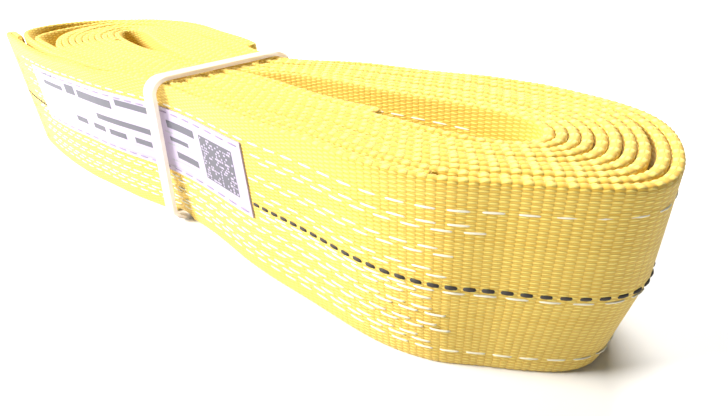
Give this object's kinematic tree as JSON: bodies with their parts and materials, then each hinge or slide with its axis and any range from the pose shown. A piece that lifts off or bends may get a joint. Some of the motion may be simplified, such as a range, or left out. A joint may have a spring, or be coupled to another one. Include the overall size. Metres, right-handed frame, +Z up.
{
  "type": "flat web sling",
  "caption": "Flat two-ply web lifting sling with folded eyes, rolled up flat and held round its waist by a nylon tie",
  "frame": {"origin": "middle of the rolled sling's outer box, on the plane its lower web edges rest on", "axes": "+X runs along the flattened roll from the sewn-over end to the plain end, +Y runs across the roll away from the labelled face, +Z is up along the width of the web"},
  "size_m": [0.2562, 0.0612, 0.0514],
  "materials": {
    "webbing": "woven",
    "sewing_thread": "matte",
    "tracer": "matte",
    "label": "smooth",
    "tie_nylon": "satin"
  },
  "bodies": {
    "sling": {"inner_eye_loop": "webbing", "body_inner_ply": "webbing", "body_outer_ply": "webbing", "splice_tail_ply": "webbing", "outer_eye_loop": "webbing", "hemmed_end": "webbing", "label_tag": "label", "tracer_yarn": "tracer", "label_stitches": "sewing_thread", "top_edge_stitches": "sewing_thread", "bottom_edge_stitches": "sewing_thread", "centre_stitches": "sewing_thread", "hem_tack_stitches": "sewing_thread", "inner_splice_stitches": "sewing_thread", "splice_stitches_1": "sewing_thread", "splice_stitches_2": "sewing_thread", "splice_stitches_3": "sewing_thread", "splice_stitches_4": "sewing_thread", "splice_stitches_5": "sewing_thread", "splice_stitches_6": "sewing_thread", "splice_stitches_7": "sewing_thread", "tie_strap": "tie_nylon", "tie_head": "tie_nylon"},
    "pawl": {"tie_pawl": "tie_nylon"}
  },
  "joints": [
    {"name": "pawl_flex", "type": "hinge", "parent": "sling", "child": "pawl", "pos_m": [0.00277, 0.01707, 0.02225], "axis": [1, 0, 0], "range_deg": [0, 12], "stiffness_Nm_per_rad": 0.001}
  ]
}
